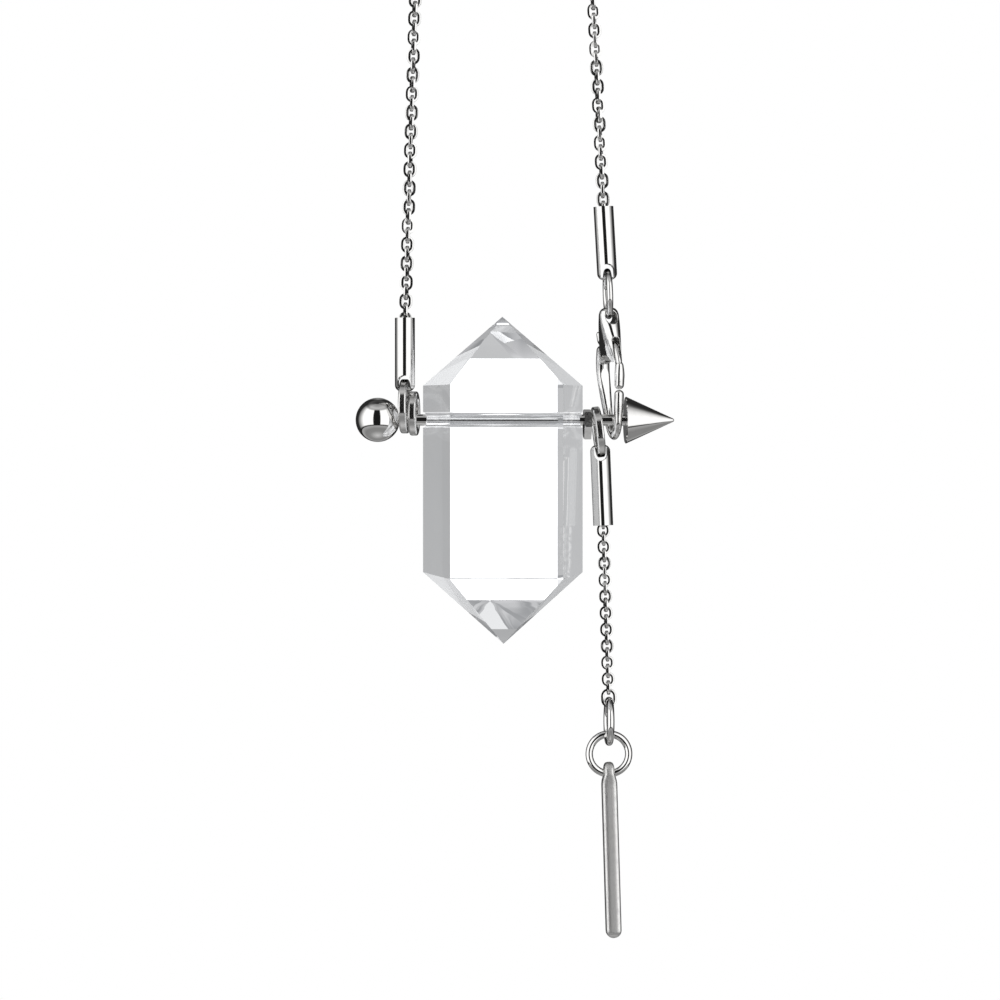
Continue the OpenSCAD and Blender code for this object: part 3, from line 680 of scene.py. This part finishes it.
def swept(path, sides=24, steps=6):
    """Points and faces of an oval bar swept in the YZ plane, as (y, z, half height, half thickness) rows."""
    rows = [Vector(row) for row in path]
    rows = [2 * rows[0] - rows[1]] + rows + [2 * rows[-1] - rows[-2]]
    # A smooth curve through all rows
    line = []
    for a, b, c, d in zip(rows, rows[1:], rows[2:], rows[3:]):
        for i in range(steps):
            t = i / steps
            line.append(0.5 * (2 * b + (c - a) * t + (2 * a - 5 * b + 4 * c - d) * t * t
                               + (3 * b - a - 3 * c + d) * t * t * t))
    line.append(rows[-2])
    rings = []
    for i, row in enumerate(line):
        ahead = line[min(i + 1, len(line) - 1)] - line[max(i - 1, 0)]
        along_path = Vector((ahead[0], ahead[1])).normalized()
        rings.append((Vector((row[0], row[1])), along_path, row[2], row[3], 1.0))
    # Both ends are closed by a quarter round
    caps = [math.radians(a) for a in CAP_ANGLES]
    first, last = rings[0], rings[-1]
    start = [(first[0] - first[1] * first[2] * math.sin(a), *first[1:4], math.cos(a)) for a in reversed(caps)]
    end = [(last[0] + last[1] * last[2] * math.sin(a), *last[1:4], math.cos(a)) for a in caps]
    rings = start + rings + end
    points = []
    for middle, way, high, thick, share in rings:
        for k in range(sides):
            b = 2 * math.pi * k / sides
            out = high * share * math.cos(b)
            points.append((thick * share * math.sin(b), middle[0] - way[1] * out, middle[1] + way[0] * out))
    faces = loop_faces(len(rings), sides, False)
    faces += [tuple(range(sides)), tuple(range(len(points) - 1, len(points) - sides - 1, -1))]
    return points, faces


def lofted(sections, fullness=2.1, sides=40):
    """Points and faces of a closed body from level oval sections, as (z, half depth, half thickness)."""
    points = []
    for z, deep, thick in sections:
        for k in range(sides):
            b = 2 * math.pi * k / sides
            share = (abs(math.cos(b)) ** fullness + abs(math.sin(b)) ** fullness) ** (-1 / fullness)
            points.append((thick * share * math.cos(b), deep * share * math.sin(b), z))
    faces = loop_faces(len(sections), sides, False)
    faces += [tuple(range(sides)), tuple(range(len(points) - 1, len(points) - sides - 1, -1))]
    return points, faces


def prism(outline, axis, low, high):
    """Points and faces of a prism over an outline, drawn as (y, z) for axis X or (x, z) for axis Y."""
    def spot(u, v, level):
        return (level, u, v) if axis == "X" else (u, level, v)
    points = [spot(u, v, level) for level in (low, high) for u, v in outline]
    n = len(outline)
    faces = loop_faces(2, n, False) + [tuple(range(n)), tuple(range(2 * n - 1, n - 1, -1))]
    return points, faces


def stadium(low, high, steps=24):
    """Outline round two circles on the line u = 0, each given as (v, radius)."""
    lean = math.asin((low[1] - high[1]) / (high[0] - low[0]))
    outline = []
    for v, radius, first, last in ((high[0], high[1], lean, math.pi - lean),
                                   (low[0], low[1], math.pi - lean, 2 * math.pi + lean)):
        for i in range(steps + 1):
            a = first + (last - first) * i / steps
            outline.append((radius * math.cos(a), v + radius * math.sin(a)))
    return outline


def blank(name, parts):
    """A plain object of closed parts, each as (points, faces), to be worked on by modifiers."""
    shell = Shell()
    for points, faces in parts:
        shell.add(points, faces)
    mesh = shell.mesh(name)
    grown = bmesh.new()
    grown.from_mesh(mesh)
    bmesh.ops.recalc_face_normals(grown, faces=grown.faces)
    grown.to_mesh(mesh)
    grown.free()
    made = bpy.data.objects.new(name, mesh)
    bpy.context.scene.collection.objects.link(made)
    return made


def cast(node, parts, cuts, matrix, body, rounding, material):
    """Parts melted into one, cut and rounded over by smoothing steps, as a casting in a node's place."""
    rough = blank(node + "_blank", parts)
    tools = [blank(node + "_cut", [cut]) for cut in cuts]

    def melt(size):
        remesh = rough.modifiers.new("melt", "REMESH")
        remesh.mode = "VOXEL"
        remesh.voxel_size = size * MM

    melt(COARSE_VOXEL)
    for tool in tools:
        carve = rough.modifiers.new("carve", "BOOLEAN")
        carve.operation = "DIFFERENCE"
        carve.object = tool
    melt(FINE_VOXEL)
    soften = rough.modifiers.new("soften", "SMOOTH")
    soften.factor = 0.5
    soften.iterations = rounding
    done = bpy.data.meshes.new_from_object(rough.evaluated_get(bpy.context.evaluated_depsgraph_get()))
    for each in (rough, *tools):
        mesh = each.data
        bpy.data.objects.remove(each)
        bpy.data.meshes.remove(mesh)
    done.name = node + "_cast"
    place = matrix.copy()
    place.translation *= MM
    done.transform(place)
    settle(done, node + "_cast", material, (node,), sharp=180, body=body)


# The clasp in millimetres, with the bar's axis at y 0, z 0. Its swept bars, as y, z, half height and half
# thickness at each point
CLASP_HOOK = [
    (2.6, 9.9, 0.8, 1.0), (3.0, 8.3, 0.74, 1.0), (3.06, 6.8, 0.68, 0.98), (2.76, 5.0, 0.64, 0.92),
    (2.32, 2.8, 0.62, 0.8), (1.88, 0.8, 0.62, 0.66), (1.46, -0.7, 0.68, 0.6), (0.8, -1.56, 0.84, 0.58),
    (0.0, -1.85, 0.95, 0.58), (-0.8, -1.56, 0.84, 0.58), (-1.46, -0.7, 0.68, 0.6), (-1.88, 0.8, 0.62, 0.64),
    (-2.26, 2.4, 0.62, 0.7), (-2.5, 3.56, 0.62, 0.7),
]
LEVER_GATE = [(-2.72, 4.8, 0.58, 0.68), (-3.0, 6.3, 0.62, 0.72), (-3.08, 7.5, 0.6, 0.6)]
LEVER_ARM = [
    (-3.08, 7.4, 0.56, 0.48), (-2.5, 8.8, 0.6, 0.47), (-1.2, 10.5, 0.66, 0.48), (0.6, 11.05, 0.5, 0.48),
    (2.3, 10.85, 0.42, 0.48), (3.35, 11.1, 0.4, 0.48), (3.7, 12.2, 0.4, 0.5),
]
# Its head's level sections, as z, half depth and half thickness
CLASP_HEAD = [
    (8.1, 3.55, 0.92), (8.7, 3.36, 0.98), (9.35, 3.1, 1.06), (10.5, 2.7, 1.22), (12.36, 2.04, 1.42),
    (13.6, 1.58, 1.47), (14.85, 1.12, 1.44), (15.3, 0.98, 1.28), (15.6, 0.8, 1.02), (15.78, 0.52, 0.66),
    (15.85, 0.2, 0.25),
]
# The space inside the hook and the eye, each round two circles, as z and radius
CLASP_HOLLOW = ((0.25, 1.15), (6.6, 2.5))
CLASP_EYE = ((14.3, 0.86), (14.48, 0.86))
# The arched cut in its front: half width, foot, height of the arch's middle, steps of the arch and reach
ARCH_HALF, ARCH_FOOT, ARCH_MIDDLE, ARCH_STEPS, ARCH_REACH = 0.56, 7, 11.04, 12, (-6, -1.89)
# The slot that the lever moves in, as y and z, and its reach to both sides
LEVER_SLOT = [(-1.9, 7.1), (0, 8.1), (1, 9.5), (7, 9.9), (7, 13.2), (1.2, 13.2), (-1.9, 11.6)]
SLOT_REACH = (-0.56, 0.56)
# Reach of the cuts that go right through
HOLLOW_REACH, EYE_REACH, STICK_REACH = (-3, 3), (-4, 4), (-3, 3)


class NECKLACE_OT_clasp(bpy.types.Operator):
    """Makes the clasp's body and lever as polished castings."""

    bl_idname = "necklace.clasp"
    bl_label = "Clasp"

    def execute(self, context):
        m = Measures()
        places = Places(m)
        matrix = placing(m, places.clasp, m.clasp_lean, m.clasp_yaw)
        hollow = prism(stadium(*CLASP_HOLLOW), "X", *HOLLOW_REACH)
        eye = prism(stadium(*CLASP_EYE), "Y", *EYE_REACH)
        outline = [(-ARCH_HALF, ARCH_FOOT), (ARCH_HALF, ARCH_FOOT)]
        for i in range(ARCH_STEPS + 1):
            a = math.pi * i / ARCH_STEPS
            outline.append((ARCH_HALF * math.cos(a), ARCH_MIDDLE + ARCH_HALF * math.sin(a)))
        arch = prism(outline, "Y", *ARCH_REACH)
        slot = prism(LEVER_SLOT, "X", *SLOT_REACH)
        body = [swept(CLASP_HOOK), lofted(CLASP_HEAD)]
        steel = finish("cast_steel")
        cuts = [hollow, eye, arch, slot]
        cast("clasp_body", body, cuts, matrix, NECKLACE, rounding=8, material=steel)
        lever = [swept(LEVER_GATE), swept(LEVER_ARM)]
        cast("clasp_lever", lever, [], matrix, "clasp_lever", rounding=5, material=steel)
        return {"FINISHED"}


# The bar drop's level sections in millimetres from its hole, as z, half depth and half thickness
BAR_SECTIONS = [
    (-22.94, 0.12, 0.12), (-22.84, 0.46, 0.46), (-22.64, 0.75, 0.75), (-22.39, 0.95, 0.95),
    (-22.09, 1.07, 1.07), (-21.8, 1.1, 1.1), (-21.0, 1.1, 1.1), (-1.9, 1.1, 1.1), (-1.3, 1.16, 1.09),
    (-0.8, 1.26, 1.03), (-0.4, 1.36, 0.92), (0.0, 1.45, 0.8), (0.3, 1.48, 0.75), (0.9, 1.36, 0.74),
    (1.3, 1.1, 0.7), (1.6, 0.74, 0.58), (1.75, 0.42, 0.4), (1.8, 0.2, 0.2),
]


class NECKLACE_OT_bar_drop(bpy.types.Operator):
    """Makes the bar drop with its flattened eye and soft shoulders."""

    bl_idname = "necklace.bar_drop"
    bl_label = "Bar drop"

    def execute(self, context):
        m = Measures()
        matrix = placing(m, Places(m).stick_hole, m.stick_lean)
        bar = lofted(BAR_SECTIONS, fullness=4.5, sides=56)
        hole = prism(stadium((0, STICK_HOLE_R), (0.001, STICK_HOLE_R)), "X", *STICK_REACH)
        cast("drop_bar", [bar], [hole], matrix, NECKLACE, rounding=6, material=finish("satin_steel"))
        return {"FINISHED"}


class NECKLACE_OT_crystal(bpy.types.Operator):
    """Gives the crystal its clear body."""

    bl_idname = "necklace.crystal"
    bl_label = "Crystal"

    def execute(self, context):
        dress(finish("clear_quartz"), "crystal")
        return {"FINISHED"}


OPERATORS = (
    NECKLACE_OT_stage,
    NECKLACE_OT_chain,
    NECKLACE_OT_drop_chain,
    NECKLACE_OT_findings,
    NECKLACE_OT_clasp,
    NECKLACE_OT_bar_drop,
    NECKLACE_OT_crystal,
)


class NECKLACE_PT_panel(bpy.types.Panel):
    """Lists the necklace's sizes, colours and pieces."""

    bl_idname = "NECKLACE_PT_panel"
    bl_label = "Crystal point necklace"
    bl_space_type = "VIEW_3D"
    bl_region_type = "UI"
    bl_category = "Necklace"

    def draw(self, context):
        layout = self.layout
        for operator in OPERATORS:
            layout.operator(operator.bl_idname)
        scene = context.scene
        for group in (scene.necklace_sizes, scene.necklace_leans, scene.necklace_colours):
            box = layout.box()
            for name in type(group).__annotations__:
                box.prop(group, name)


CLASSES = (NecklaceSizes, NecklaceLeans, NecklaceColours, *OPERATORS, NECKLACE_PT_panel)


def register():
    for each in CLASSES:
        bpy.utils.register_class(each)
    bpy.types.Scene.necklace_sizes = PointerProperty(type=NecklaceSizes)
    bpy.types.Scene.necklace_leans = PointerProperty(type=NecklaceLeans)
    bpy.types.Scene.necklace_colours = PointerProperty(type=NecklaceColours)


def unregister():
    del bpy.types.Scene.necklace_colours
    del bpy.types.Scene.necklace_leans
    del bpy.types.Scene.necklace_sizes
    for each in reversed(CLASSES):
        bpy.utils.unregister_class(each)


def main():
    register()
    for operator in OPERATORS:
        getattr(bpy.ops.necklace, operator.bl_idname.split(".")[1])()


if __name__ == "__main__":
    main()
